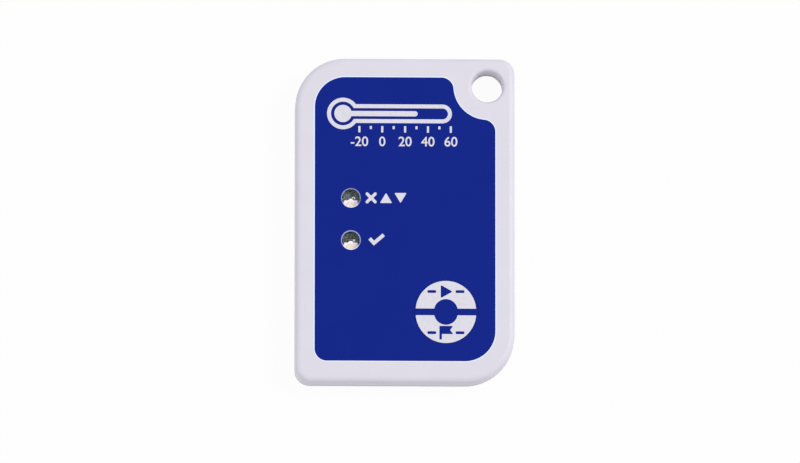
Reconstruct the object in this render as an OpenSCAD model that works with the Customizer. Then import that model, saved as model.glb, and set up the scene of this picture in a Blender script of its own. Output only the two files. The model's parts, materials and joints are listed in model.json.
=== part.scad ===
// Card-format temperature data logger.
// The case lies on its rear face with the front upwards. +Y is the top edge, with the lanyard
// hole at its right, and the origin is under the middle of the case.

/* [Case] */
// Width over the two long edges
body_w = 57.6; // [54:0.2:70]
// Height over the two short edges
body_h = 86; // [82:0.5:110]
// Thickness over both faces
body_t = 8.6; // [8.5:0.1:11]
// Radius of the large corners, top left and bottom right
corner_large = 13.1; // [10:0.1:15]
// Radius of the small corners, top right and bottom left
corner_small = 4; // [3.2:0.1:4.8]
// Rounding of the front edge
edge_front = 1.6; // [0.8:0.1:2]
// Rounding of the rear edge
edge_rear = 1; // [0.4:0.1:1.3]
// Thickness of the side wall
wall = 1.6; // [1.5:0.1:2]
// Thickness of the rear cover's floor
floor_t = 1.4; // [1.2:0.1:1.5]
// Thickness of the front skin under the label
skin_t = 1; // [0.8:0.1:1.1]
// Height of the parting line above the rear face
split_z = 2.2; // [2:0.1:2.6]

/* [Lanyard hole] */
// Radius of the hole's straight wall
hole_r = 4.1; // [3:0.1:4.3]
// Distance of the hole's centre from the right edge
hole_from_right = 7.2; // [6.9:0.1:9]
// Distance of the hole's centre from the top edge
hole_from_top = 7.4; // [6.9:0.1:9]
// Rounding of the hole's front lip
lip_front = 1; // [0.3:0.1:1.2]
// Rounding of the hole's rear lip
lip_rear = 0.5; // [0.2:0.1:0.9]

/* [Label] */
// Thickness of the label
label_t = 0.25; // [0.15:0.05:0.3]
// Depth of the label's face below the case's front face
label_sink = 0.05; // [0.05:0.05:0.15]
// Border between the label and the case's left, right and top edges
label_border = 5.1; // [4.5:0.1:6]
// Border between the label and the case's bottom edge
label_border_low = 5.6; // [4.5:0.1:7]
// Radius of the label's small corners
label_corner = 3.2; // [2:0.1:4]
// Radius of the label's bay around the lanyard hole
bay_r = 8.9; // [8:0.1:10]
// Radius of the label's openings over the lamps
window_r = 2.6; // [2.5:0.05:3]

/* [Button] */
// Distance of the button's centre from the right edge
button_from_right = 18; // [16.5:0.1:19]
// Distance of the button's centre from the bottom edge
button_from_bottom = 18.7; // [17.5:0.1:22]
// Radius of the pressed pad
button_r = 8.35; // [7:0.05:9]
// Travel of the button
button_travel = 0.25; // [0.1:0.05:0.25]

/* [Lamps] */
// Distance of the lamps from the left edge
lamp_from_left = 14.6; // [12:0.1:16]
// Distance of the alert lamp from the top edge
lamp_from_top = 37.2; // [35:0.1:40]
// Distance between the two lamps
lamp_pitch = 11.2; // [10:0.1:13]
// Radius of the well in the front skin
well_r = 2.4; // [2.1:0.05:2.45]

/* [Cell] */
// Diameter of the coin cell
cell_d = 20; // [16:0.5:21]
// Thickness of the coin cell
cell_t = 3.2; // [2.5:0.1:3.2]

/* [Board] */
// Thickness of the circuit board
board_t = 0.8; // [0.6:0.1:0.8]
// Gap between the board and the case wall
board_gap = 0.4; // [0.2:0.1:0.8]
// Width of the tactile switch
switch_w = 5.2; // [4.6:0.1:6]
// Number of contacts in the rear cover
contact_count = 3; // [1:1:4]
// Distance between contacts
contact_pitch = 6; // [5:0.1:7]

/* [Hidden] */
$fn = 96;

// Overrun that carries a cut past the face it opens
cut = 0.5;
// Depth of the straight edge pieces of the case, more than its roundings, the overlap of the
// middle with them, and the inset of the strips that run through their seams
rim_depth = 2.6;
rim_lap = 0.3;
rim_seam = 0.1;
// Least radius that an inner corner keeps
least_r = 0.2;
// Steps in a quarter turn of an outline
arc_steps = 20;

// Levels, from the rear face up
pad_t = 0.3;
tab_t = 0.15;
label_floor_z = body_t - label_sink - label_t;
label_top_z = body_t - label_sink;
skin_z = label_floor_z - skin_t;
cell_z = floor_t + pad_t;
cell_top_z = cell_z + cell_t;
board_z = cell_top_z + tab_t;
board_top_z = board_z + board_t;

// Places of the features seen from the front
hole_x = body_w / 2 - hole_from_right;
hole_y = body_h / 2 - hole_from_top;
button_x = body_w / 2 - button_from_right;
button_y = button_from_bottom - body_h / 2;
lamp_x = lamp_from_left - body_w / 2;
alert_y = body_h / 2 - lamp_from_top;
ok_y = alert_y - lamp_pitch;

// The solid corner block that carries the lanyard hole
block_wall = 1.7;
block_r = hole_r + block_wall;

// The rear cover's tongue, which stands inside the front housing's wall
tongue_t = 0.9;
tongue_h = 1.5;
tongue_gap = 0.1;

// The seal between the shells, in a groove beside the tongue
seal_w = 0.6;
seal_h = 0.4;
seal_land = 0.3;
seal_gap = 0.02;

// Snap beads on the tongue's long sides, and their grooves
snap_r = 0.3;
snap_out = 0.2;
snap_gap = 0.06;
snap_len = 12;
snap_lift = 0.75;
snap_spread = 26;

// Posts that locate the board: shoulder, pin through the board, staked head, and peg below
post_r = 1.6;
pin_r = 0.7;
pin_gap = 0.1;
head_r = 1.2;
head_h = 0.5;
peg_r = 1.3;
post_edge = 6.2;
post_corner = 9;
post_drop = 19;
POSTS = [
    [post_corner - body_w / 2, body_h / 2 - post_corner],
    [body_w / 2 - post_edge, body_h / 2 - post_drop],
    [body_w / 2 - post_corner, post_corner - body_h / 2],
    [post_edge - body_w / 2, post_edge - body_h / 2]
];

// The label's clearance in its recess
label_gap = 0.1;
label_large = max(least_r, corner_large - label_border);

// The button's key: a plate, a skirt with a flange under the skin, and a nub on the switch
button_gap = 0.08;
key_web = 0.7;
key_skirt = 0.9;
key_flange_w = 0.7;
key_flange_t = 0.35;
key_play = 0.05;
nub_r = 1.4;

// The tactile switch
switch_base_h = 0.8;
switch_floor = 0.2;
switch_sheet = 0.2;
switch_rise = 0.3;
switch_room_r = 2.2;
stem_r = 1.1;
stem_gap = 0.08;
stem_flange_r = 1.7;
stem_flange_t = 0.2;
stem_play = 0.05;
dome_r = 1.95;
dome_t = 0.08;
dome_play = 0.02;
switch_corner = 0.6;
ear_w = 1.6;
ear_h = 0.6;
switch_base_z = board_top_z;
switch_top_z = switch_base_z + switch_base_h;
stem_z = switch_top_z - stem_play - stem_flange_t;
stem_top_z = switch_top_z + switch_sheet + switch_rise;
dome_z = switch_base_z + switch_floor;
dome_rise = stem_z - dome_play - dome_z;
dome_sphere_r = (dome_r * dome_r + dome_rise * dome_rise) / (2 * dome_rise);

// Lamp lens, light shield and light-emitting diode
lens_gap = 0.05;
lens_flange_w = 0.75;
lens_flange_t = 0.35;
lens_sink = 0.12;
lens_rise = 0.12;
led_l = 3.5;
led_w = 2.8;
led_h = 0.9;
led_drop = 1.85;
led_cup_r = 1.2;
led_cup_d = 0.5;
led_cap_rise = 0.15;
led_cap_gap = 0.02;
led_ear_r = 0.75;
led_ear_sink = 0.3;
led_far = sqrt(led_l * led_l / 4 + (led_drop + led_w / 2) * (led_drop + led_w / 2));
shield_gap = 0.2;
shield_r = max(well_r + lens_flange_w, led_far) + shield_gap;
shield_t = 0.9;
shield_clear = 0.3;

// Coin cell: can, cap and the seal between them
cell_from_left = 25.8;
cell_from_top = 23;
cell_x = cell_from_left - body_w / 2;
cell_y = body_h / 2 - cell_from_top;
cell_r = cell_d / 2;
can_round = 0.6;
can_drop = 0.3;
crimp_w = 0.5;
crimp_h = 0.6;
cap_inset = 1.4;
cap_depth = 0.8;
cell_seal_t = 0.35;
cell_seal_drop = 0.1;
cell_fit = 0.02;
cell_ring_gap = 0.2;
cell_ring_t = 0.8;
cell_ring_h = 1.4;
tab_w = 4;
tab_reach = 4.5;
tab_stand = 0.5;
tab_slot = 0.3;
tab_overlap_share = 0.5;

// Contacts: stepped pins from the rear face to the board
contact_r = 1.6;
contact_gap = 0.1;
contact_sink = 0.25;
contact_bevel = 0.3;
contact_flange_w = 0.5;
contact_flange_t = 0.4;
contact_shank_r = 0.8;
contact_from_bottom = 7;
contact_y = contact_from_bottom - body_h / 2;

// Temperature sensor bead in a notch of the board's lower edge
bead_r = 1.1;
bead_gap = 0.5;
sensor_from_left = 16;
sensor_x = sensor_from_left - body_w / 2;
sensor_notch_h = 4.5;
sensor_y = wall + board_gap + sensor_notch_h - bead_r - bead_gap - body_h / 2;
sensor_lead_r = 0.15;
sensor_lead_pitch = 1.2;
sensor_lead_len = 4;
sensor_lead_bed = 0.02;

// Chips on the board's front, by their distance from the right and top edges
mcu_w = 7;
mcu_h = 0.9;
mcu_from_right = 18;
mcu_from_top = 40;
mcu_x = body_w / 2 - mcu_from_right;
mcu_y = body_h / 2 - mcu_from_top;
mcu_lead_pitch = 0.8;
mcu_leads_side = 8;
memory_l = 4.9;
memory_w = 3.9;
memory_h = 0.9;
memory_from_right = 18;
memory_from_top = 29;
memory_x = body_w / 2 - memory_from_right;
memory_y = body_h / 2 - memory_from_top;
memory_lead_pitch = 1.27;
memory_leads_side = 4;
chip_bevel = 0.15;
chip_stand = 0.1;
pin_mark_r = 0.4;
pin_mark_d = 0.1;
pin_mark_edge = 0.9;
lead_w = 0.35;
lead_t = 0.15;
lead_reach = 1;
lead_foot = 0.5;
lead_lift = 0.45;
crystal_l = 3.2;
crystal_w = 1.5;
crystal_h = 0.8;
crystal_base_h = 0.45;
crystal_step = 0.15;
crystal_from_right = 27;
crystal_from_top = 44;

// Small chips, placed from the chip, lamp or switch that each one serves
small_l = 1.6;
small_w = 0.8;
small_h = 0.7;
flat_h = 0.45;
small_pitch = 4.2;
small_beside = 11.6;
small_below = 7;

// Points along an arc, both ends included
function arc(at, r, from, to) = [
    for (i = [0:arc_steps])
        let (turn = from + (to - from) * i / arc_steps) at + r * [cos(turn), sin(turn)]
];

// Radius of an inner corner, which its wall limits
function inner_r(r, inset) = max(least_r, r - inset);

// Outline of the case's hollow, drawn in by e all round: four corners, with the block
// of the lanyard hole standing in the top right one
function hollow_points(e) =
    let (
        x = body_w / 2 - wall - e,
        y = body_h / 2 - wall - e,
        big = inner_r(corner_large, wall + e),
        small = inner_r(corner_small, wall + e)
    )
    concat(
        arc([big - x, y - big], big, 180, 90),
        [[hole_x - block_r - e, y]],
        arc([hole_x, hole_y], block_r + e, 180, 270),
        [[x, hole_y - block_r - e]],
        arc([x - big, big - y], big, 0, -90),
        arc([small - x, small - y], small, -90, -180)
    );

// Outline of the label, grown by e all round. Two small arcs lead into the bay that
// runs round the lanyard hole.
function label_points(e) =
    let (
        x = body_w / 2 - label_border,
        y = body_h / 2 - label_border,
        y_low = label_border_low - body_h / 2,
        reach = bay_r + label_corner,
        rise = hole_y - y + label_corner,
        run = hole_x - x + label_corner,
        top_at = [hole_x - sqrt(reach * reach - rise * rise), y - label_corner],
        right_at = [x - label_corner, hole_y - sqrt(reach * reach - run * run)],
        top_turn = atan2(hole_y - top_at[1], hole_x - top_at[0]),
        right_turn = atan2(hole_y - right_at[1], hole_x - right_at[0])
    )
    concat(
        arc([label_large - x, y - label_large], label_large + e, 180, 90),
        arc(top_at, label_corner + e, 90, top_turn),
        arc([hole_x, hole_y], bay_r - e, 180 + top_turn, 180 + right_turn),
        arc(right_at, label_corner + e, right_turn, 0),
        arc([x - label_large, y_low + label_large], label_large + e, 0, -90),
        arc([label_corner - x, y_low + label_corner], label_corner + e, -90, -180)
    );

// Section of the case's edge, out from the middle, with its upper outer corner rounded
module edge_section(depth, h, r) {
    square([depth - r, h]);
    square([depth, h - r]);
    translate([depth - r, h - r]) circle(r = r);
}

// Block with the case's outline and a rounded upper edge. Each quarter turn draws one corner,
// the straight edge after it, and a smaller strip inside that edge which laps both corners.
module case_block(h, r) {
    radii = [corner_small, corner_large, corner_small, corner_large];
    for (k = [0:3]) {
        out = k % 2 == 0 ? body_w / 2 : body_h / 2;
        along = k % 2 == 0 ? body_h / 2 : body_w / 2;
        this_r = radii[k];
        next_r = radii[(k + 1) % 4];
        rotate([0, 0, -90 * k]) {
            translate([out - this_r, along - this_r, 0]) rotate_extrude(angle = 90)
                edge_section(this_r, h, r);
            for (in = [0, rim_seam]) translate([out - rim_depth + in, along - this_r + in, in])
                rotate([90, 0, 0]) linear_extrude(2 * (along + in) - this_r - next_r)
                    edge_section(rim_depth - 2 * in, h - 2 * in, r);
        }
    }
    x = body_w / 2;
    y = body_h / 2;
    s = corner_small - rim_lap;
    b = corner_large - rim_lap;
    d = rim_depth - rim_lap;
    linear_extrude(h) polygon([
        [x - d, y - s], [x - s, y - s], [x - s, y - d],
        [b - x, y - d], [b - x, y - b], [d - x, y - b],
        [d - x, s - y], [s - x, s - y], [s - x, d - y],
        [x - b, d - y], [x - b, b - y], [x - d, b - y]
    ]);
}

// The lanyard hole with its two rounded lips
module lanyard_bore() {
    lip = max(lip_front, lip_rear);
    translate([hole_x, hole_y, 0]) rotate_extrude() difference() {
        translate([0, -cut]) square([hole_r + lip, body_t + 2 * cut]);
        translate([hole_r, lip_rear]) square([lip + cut, body_t - lip_front - lip_rear]);
        translate([hole_r + lip_front, body_t - lip_front]) circle(r = lip_front);
        translate([hole_r + lip_front, body_t - lip_front]) square([lip + cut, lip_front + 2 * cut]);
        translate([hole_r + lip_rear, lip_rear]) circle(r = lip_rear);
        translate([hole_r + lip_rear, -2 * cut]) square([lip + cut, lip_rear + 2 * cut]);
    }
}

// Snap beads or, with a gap, the grooves that take them
module snap_bars(gap) {
    out = body_w / 2 - wall - tongue_gap + snap_out - snap_r;
    for (side = [-1, 1]) for (end = [-1, 1])
        translate([side * out, end * snap_spread / 2 + (snap_len + 2 * gap) / 2, split_z + snap_lift])
            rotate([90, 0, 0]) cylinder(r = snap_r + gap, h = snap_len + 2 * gap);
}

module lamp_places() {
    translate([lamp_x, alert_y, 0]) children();
    translate([lamp_x, ok_y, 0]) children();
}

// Front shell: rounded tray with the label's recess, the button's opening, two lamp wells
// with light shields, board posts and the lanyard hole
module front_housing() color("#dfdde5") difference() {
    union() {
        difference() {
            translate([0, 0, split_z]) case_block(body_t - split_z, edge_front);
            translate([0, 0, split_z - cut]) linear_extrude(skin_z - split_z + cut)
                polygon(hollow_points(0));
        }
        for (at = POSTS) translate([at[0], at[1], 0]) {
            translate([0, 0, board_top_z]) cylinder(r = post_r, h = skin_z - board_top_z + skin_t / 2);
            translate([0, 0, board_z - head_h]) cylinder(r = pin_r, h = head_h + board_t + skin_t / 2);
            translate([0, 0, board_z - head_h]) cylinder(r = head_r, h = head_h);
        }
        lamp_places() translate([0, 0, board_top_z + shield_clear])
            cylinder(r = shield_r + shield_t, h = skin_z - board_top_z - shield_clear + skin_t / 2);
    }
    translate([0, 0, label_floor_z]) linear_extrude(label_t + label_sink + cut)
        polygon(label_points(label_gap));
    translate([button_x, button_y, skin_z - cut]) cylinder(r = button_r + button_gap, h = skin_t + 2 * cut);
    lamp_places() {
        translate([0, 0, skin_z - cut]) cylinder(r = well_r, h = skin_t + 2 * cut);
        translate([0, 0, board_z]) cylinder(r = shield_r, h = skin_z - board_z);
    }
    snap_bars(snap_gap);
    lanyard_bore();
}

// Rear shell: floor and rim, with a tongue that enters the front shell, a groove for the seal,
// a ring round the cell, pegs under the board's posts, and windows for the contacts
module rear_cover() color("#d9d7df") difference() {
    union() {
        difference() {
            union() {
                translate([0, 0, split_z]) mirror([0, 0, 1]) case_block(split_z, edge_rear);
                translate([0, 0, floor_t]) linear_extrude(split_z - floor_t + tongue_h)
                    polygon(hollow_points(tongue_gap));
            }
            translate([0, 0, floor_t]) linear_extrude(split_z - floor_t + tongue_h + cut)
                polygon(hollow_points(tongue_gap + tongue_t));
        }
        snap_bars(0);
        for (at = POSTS) translate([at[0], at[1], floor_t / 2])
            cylinder(r = peg_r, h = board_z - head_h - floor_t / 2);
        translate([cell_x, cell_y, floor_t / 2]) difference() {
            cylinder(r = cell_r + cell_ring_gap + cell_ring_t, h = floor_t / 2 + cell_ring_h);
            translate([0, 0, floor_t / 2]) cylinder(r = cell_r + cell_ring_gap, h = cell_ring_h + cut);
            translate([-cell_r - cell_ring_gap - cell_ring_t - cut, -tab_w / 2 - tab_slot, floor_t / 2])
                cube([cell_r, tab_w + 2 * tab_slot, cell_ring_h + cut]);
        }
    }
    translate([0, 0, split_z - seal_h]) linear_extrude(seal_h + cut) difference() {
        polygon(hollow_points(-seal_land - seal_w));
        polygon(hollow_points(-seal_land));
    }
    for (at = contact_places()) translate([at[0], at[1], 0]) {
        translate([0, 0, -cut]) cylinder(r = contact_r + contact_gap, h = floor_t + 2 * cut);
        translate([0, 0, -cut]) cylinder(
            r1 = contact_r + contact_gap + contact_bevel + cut,
            r2 = contact_r + contact_gap,
            h = contact_bevel + cut
        );
    }
    lanyard_bore();
}

function contact_places() = [
    for (i = [0:contact_count - 1]) [(i - (contact_count - 1) / 2) * contact_pitch, contact_y]
];

module case_gasket() color("#3a3d42")
    translate([0, 0, split_z - seal_h]) linear_extrude(seal_h) difference() {
        polygon(hollow_points(seal_gap - seal_land - seal_w));
        polygon(hollow_points(-seal_land - seal_gap));
    }

// Printed label in its recess, cut out for the lamps, the button and the lanyard hole
module label_overlay() color("#172989")
    translate([0, 0, label_floor_z]) linear_extrude(label_t) difference() {
        polygon(label_points(0));
        translate([button_x, button_y]) circle(r = button_r + button_gap);
        translate([lamp_x, alert_y]) circle(r = window_r);
        translate([lamp_x, ok_y]) circle(r = window_r);
    }

// The part of the label that moves with the button
module button_pad() color("#dbdce4")
    translate([button_x, button_y, label_floor_z]) cylinder(r = button_r, h = label_t);

module button_key() color("#c9c8d0") translate([button_x, button_y, 0]) rotate_extrude() polygon([
    [0, stem_top_z],
    [nub_r, stem_top_z],
    [nub_r, label_floor_z - key_web],
    [button_r - key_skirt, label_floor_z - key_web],
    [button_r - key_skirt, skin_z - key_play - key_flange_t],
    [button_r + key_flange_w, skin_z - key_play - key_flange_t],
    [button_r + key_flange_w, skin_z - key_play],
    [button_r, skin_z - key_play],
    [button_r, label_floor_z],
    [0, label_floor_z]
]);

// Square plate with its corners cut
module switch_plate(w, h, corner) {
    a = w / 2;
    b = w / 2 - corner;
    linear_extrude(h) polygon([[a, b], [b, a], [-b, a], [-a, b], [-a, -b], [-b, -a], [b, -a], [a, -b]]);
}

module switch_base() color("#26282c") translate([button_x, button_y, switch_base_z]) difference() {
    switch_plate(switch_w, switch_base_h, switch_corner);
    translate([0, 0, switch_floor]) cylinder(r = switch_room_r, h = switch_base_h);
}

// Pressed cover sheet with the stem's hole and two ears bent down the sides
module switch_cover() color("#c3c6ca") translate([button_x, button_y, switch_top_z]) {
    difference() {
        switch_plate(switch_w, switch_sheet, switch_corner);
        translate([0, 0, -cut]) cylinder(r = stem_r + stem_gap, h = switch_sheet + 2 * cut);
    }
    for (side = [-1, 1])
        translate([(side * (switch_w + switch_sheet) - switch_sheet) / 2, -ear_w / 2, -ear_h])
            cube([switch_sheet, ear_w, ear_h + switch_sheet]);
}

module switch_stem() color("#e8e4da") translate([button_x, button_y, 0]) rotate_extrude() polygon([
    [0, stem_z],
    [stem_flange_r, stem_z],
    [stem_flange_r, stem_z + stem_flange_t],
    [stem_r, stem_z + stem_flange_t],
    [stem_r, stem_top_z],
    [0, stem_top_z]
]);

// Thin snap dome: the shell between two spheres, cut off at the switch floor
module switch_dome() color("#b9bcc0")
    translate([button_x, button_y, dome_z]) rotate_extrude() intersection() {
        square([dome_r, dome_rise]);
        translate([0, dome_rise - dome_sphere_r]) difference() {
            circle(r = dome_sphere_r);
            circle(r = dome_sphere_r - dome_t);
        }
    }

// Clear lamp lens: a flange under the skin and a plug in the well with a bevelled face
module lamp_lens() rotate_extrude() polygon([
    [0, skin_z - lens_flange_t],
    [well_r + lens_flange_w, skin_z - lens_flange_t],
    [well_r + lens_flange_w, skin_z],
    [well_r - lens_gap, skin_z],
    [well_r - lens_gap, label_floor_z - lens_sink - lens_rise],
    [well_r - lens_gap - lens_rise, label_floor_z - lens_sink],
    [0, label_floor_z - lens_sink]
]);
module alert_lens() color("#cfd6d8", 0.4) translate([lamp_x, alert_y, 0]) lamp_lens();
module ok_lens() color("#cfd6d8", 0.4) translate([lamp_x, ok_y, 0]) lamp_lens();

// Light-emitting diode, set below the middle of its window: body with an ear on its upper side
// and a round cup, and the cup's cap
module led_body() translate([0, -led_drop, board_top_z]) difference() {
    union() {
        translate([-led_l / 2, -led_w / 2, 0]) cube([led_l, led_w, led_h]);
        translate([0, led_w / 2 - led_ear_sink, 0]) cylinder(r = led_ear_r, h = led_h);
    }
    translate([0, 0, led_h - led_cup_d]) cylinder(r = led_cup_r, h = led_cup_d + cut);
}
module led_cap() translate([0, -led_drop, board_top_z + led_h - led_cup_d]) {
    r = led_cup_r - led_cap_gap;
    cylinder(r = r, h = led_cup_d);
    translate([0, 0, led_cup_d]) cylinder(r1 = r, r2 = r - led_cap_rise, h = led_cap_rise);
}
module alert_led() color("#ece7db") translate([lamp_x, alert_y, 0]) led_body();
module ok_led() color("#ece7db") translate([lamp_x, ok_y, 0]) led_body();
module alert_led_cap() color("#e3d9a8", 0.8) translate([lamp_x, alert_y, 0]) led_cap();
module ok_led_cap() color("#e3d9a8", 0.8) translate([lamp_x, ok_y, 0]) led_cap();

// Board with post holes and a notch for the temperature sensor
module circuit_board() color("#2c4a38") difference() {
    translate([0, 0, board_z]) linear_extrude(board_t) polygon(hollow_points(board_gap));
    for (at = POSTS) translate([at[0], at[1], board_z - cut])
        cylinder(r = pin_r + pin_gap, h = board_t + 2 * cut);
    translate([sensor_x - bead_r - bead_gap, -body_h / 2, board_z - cut])
        cube([2 * (bead_r + bead_gap), wall + board_gap + sensor_notch_h, board_t + 2 * cut]);
}

// Parts of the coin cell are turned about its axis
module battery_can() color("#b7bbc0") translate([cell_x, cell_y, cell_z]) rotate_extrude() polygon(concat(
    [[0, 0]],
    arc([cell_r - can_round, can_round], can_round, -90, 0),
    [
        [cell_r, cell_t - can_drop - crimp_h],
        [cell_r - crimp_w, cell_t - can_drop],
        [cell_r - cap_inset + cell_seal_t + cell_fit, cell_t - can_drop],
        [cell_r - cap_inset + cell_seal_t + cell_fit, cell_t - can_drop - cap_depth],
        [0, cell_t - can_drop - cap_depth]
    ]
));
module battery_seal() color("#4a4c50")
    translate([cell_x, cell_y, cell_z + cell_t - can_drop - cap_depth]) difference() {
        cylinder(r = cell_r - cap_inset + cell_seal_t, h = cap_depth - cell_seal_drop);
        translate([0, 0, -cut]) cylinder(r = cell_r - cap_inset + cell_fit, h = cap_depth + 2 * cut);
    }
module battery_cap() color("#c9cdd2") translate([cell_x, cell_y, cell_z]) rotate_extrude() polygon(concat(
    [
        [0, cell_t - can_drop - cap_depth],
        [cell_r - cap_inset, cell_t - can_drop - cap_depth]
    ],
    arc([cell_r - cap_inset - can_drop, cell_t - can_drop], can_drop, 0, 90),
    [[0, cell_t]]
));

// Strip with a round end, along +X from its middle
module tab_strip(l) {
    translate([0, -tab_w / 2, 0]) cube([l, tab_w, tab_t]);
    cylinder(r = tab_w / 2, h = tab_t);
}
module battery_tab_negative() color("#c5c1b4")
    translate([cell_x, cell_y, cell_top_z]) tab_strip(cell_r + tab_reach);

// The positive tab runs under the can, up beside it and out under the board
module battery_tab_positive() color("#c5c1b4") translate([cell_x, cell_y, 0]) mirror([1, 0, 0]) {
    riser_x = cell_r + tab_stand;
    start_x = cell_r * tab_overlap_share;
    translate([start_x, 0, cell_z - tab_t]) tab_strip(riser_x + tab_t - start_x);
    translate([riser_x, -tab_w / 2, cell_z - tab_t]) cube([tab_t, tab_w, board_z - cell_z + tab_t]);
    translate([riser_x, -tab_w / 2, board_z - tab_t]) cube([tab_reach / 2, tab_w, tab_t]);
}

// Foam disc under the cell, slotted for the positive tab
module battery_pad() color("#55585e") translate([cell_x, cell_y, floor_t]) difference() {
    slot_l = cell_r * (1 - tab_overlap_share) + tab_w / 2 + tab_slot;
    cylinder(r = cell_r, h = pad_t);
    translate([-cell_r - cut, -tab_w / 2 - tab_slot, -cut])
        cube([slot_l + cut, tab_w + 2 * tab_slot, pad_t + 2 * cut]);
}

// Moulded chip body: a block with its upper edges bevelled and a round mark at one corner
module chip_body(l, w, h) difference() {
    intersection() {
        translate([-l / 2, -w / 2, chip_stand]) cube([l, w, h - chip_stand]);
        rotate([90, 0, 0]) translate([0, 0, -w]) linear_extrude(2 * w) polygon([
            [-l / 2, 0], [l / 2, 0], [l / 2, h - chip_bevel],
            [l / 2 - chip_bevel, h], [chip_bevel - l / 2, h], [-l / 2, h - chip_bevel]
        ]);
    }
    translate([pin_mark_edge - l / 2, w / 2 - pin_mark_edge, h - pin_mark_d])
        cylinder(r = pin_mark_r, h = cut);
}

// A row of gull-wing leads along X, reaching out in +Y from the chip's side
module lead_row(count, pitch) for (i = [0:count - 1])
    translate([(i - (count - 1) / 2) * pitch - lead_w / 2, 0, 0]) rotate([90, 0, 90])
        linear_extrude(lead_w) polygon([
            [0, lead_lift],
            [lead_reach - lead_foot - lead_t, lead_lift],
            [lead_reach - lead_foot, 0],
            [lead_reach, 0],
            [lead_reach, lead_t],
            [lead_reach - lead_foot + lead_t / 2, lead_t],
            [lead_reach - lead_foot - lead_t / 2, lead_lift + lead_t],
            [0, lead_lift + lead_t]
        ]);

module microcontroller() color("#1f2124")
    translate([mcu_x, mcu_y, board_top_z]) chip_body(mcu_w, mcu_w, mcu_h);
module memory_chip() color("#1f2124")
    translate([memory_x, memory_y, board_top_z]) chip_body(memory_l, memory_w, memory_h);
module chip_leads() color("#c8cacd") {
    for (turn = [0:3]) translate([mcu_x, mcu_y, board_top_z]) rotate([0, 0, 90 * turn])
        translate([0, mcu_w / 2, 0]) lead_row(mcu_leads_side, mcu_lead_pitch);
    for (turn = [0, 2]) translate([memory_x, memory_y, board_top_z]) rotate([0, 0, 90 * turn])
        translate([0, memory_w / 2, 0]) lead_row(memory_leads_side, memory_lead_pitch);
}

// Crystal in a flat case: base and a lid set in from its edge
module crystal() color("#c9b98a")
    translate([body_w / 2 - crystal_from_right, body_h / 2 - crystal_from_top, board_top_z]) {
        translate([-crystal_l / 2, -crystal_w / 2, 0]) cube([crystal_l, crystal_w, crystal_base_h]);
        translate([crystal_step - crystal_l / 2, crystal_step - crystal_w / 2, 0])
            cube([crystal_l - 2 * crystal_step, crystal_w - 2 * crystal_step, crystal_h]);
    }

module temperature_sensor() color("#22262b")
    translate([sensor_x, sensor_y, board_top_z + sensor_lead_bed + sensor_lead_r]) sphere(r = bead_r);
module sensor_leads() color("#c8cacd") for (side = [-1, 1])
    translate([sensor_x + side * sensor_lead_pitch / 2, 0, board_top_z + sensor_lead_bed + sensor_lead_r])
        translate([0, sensor_y + bead_r + sensor_lead_bed, 0]) rotate([-90, 0, 0])
            cylinder(r = sensor_lead_r, h = sensor_lead_len);

module small_chips(places, h) for (at = places)
    translate([at[0] - small_l / 2, at[1] - small_w / 2, board_top_z]) cube([small_l, small_w, h]);
module chip_capacitors() color("#b59a74") small_chips([
    [mcu_x - small_pitch, mcu_y - small_below],
    [mcu_x, mcu_y - small_below],
    [mcu_x + small_pitch, mcu_y - small_below],
    [mcu_x + small_beside, mcu_y],
    [lamp_x, ok_y - small_below - small_pitch],
    [memory_x - small_beside, memory_y + small_beside],
    [memory_x - small_beside, memory_y + small_beside + small_pitch]
], small_h);
module chip_resistors() color("#2b2d33") small_chips([
    [mcu_x, mcu_y - small_below - small_pitch / 2],
    [mcu_x + small_beside, mcu_y + small_pitch],
    [mcu_x + small_beside, mcu_y - small_pitch],
    [lamp_x, ok_y - small_below],
    [memory_x + small_beside, memory_y],
    [button_x - small_beside, button_y]
], flat_h);

// Contact pins: head in the cover's window, flange on its floor, shank up to the board
module contact_pins() color("#d8b45a") for (at = contact_places()) translate([at[0], at[1], 0])
    rotate_extrude() polygon([
        [0, contact_sink],
        [contact_r, contact_sink],
        [contact_r, floor_t],
        [contact_r + contact_flange_w, floor_t],
        [contact_r + contact_flange_w, floor_t + contact_flange_t],
        [contact_shank_r, floor_t + contact_flange_t],
        [contact_shank_r, board_z],
        [0, board_z]
    ]);

front_housing();
rear_cover();
case_gasket();
label_overlay();
button_pad();
button_key();
switch_base();
switch_cover();
switch_stem();
switch_dome();
alert_lens();
ok_lens();
alert_led();
ok_led();
alert_led_cap();
ok_led_cap();
circuit_board();
battery_can();
battery_cap();
battery_seal();
battery_tab_positive();
battery_tab_negative();
battery_pad();
microcontroller();
memory_chip();
chip_leads();
crystal();
temperature_sensor();
sensor_leads();
chip_capacitors();
chip_resistors();
contact_pins();
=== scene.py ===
"""Looks of the card-format temperature data logger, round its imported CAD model.

The logger lies on its back on a pale floor and is seen from above, a little from its lower
left. +X is its right side and +Y its top edge. Sizes and places are millimetres up to the
line that hands them to Blender or to the frame, which take metres.
"""
import json
import math

import bmesh
import bpy
from mathutils import Matrix, Vector
from mathutils.geometry import tessellate_polygon


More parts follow.
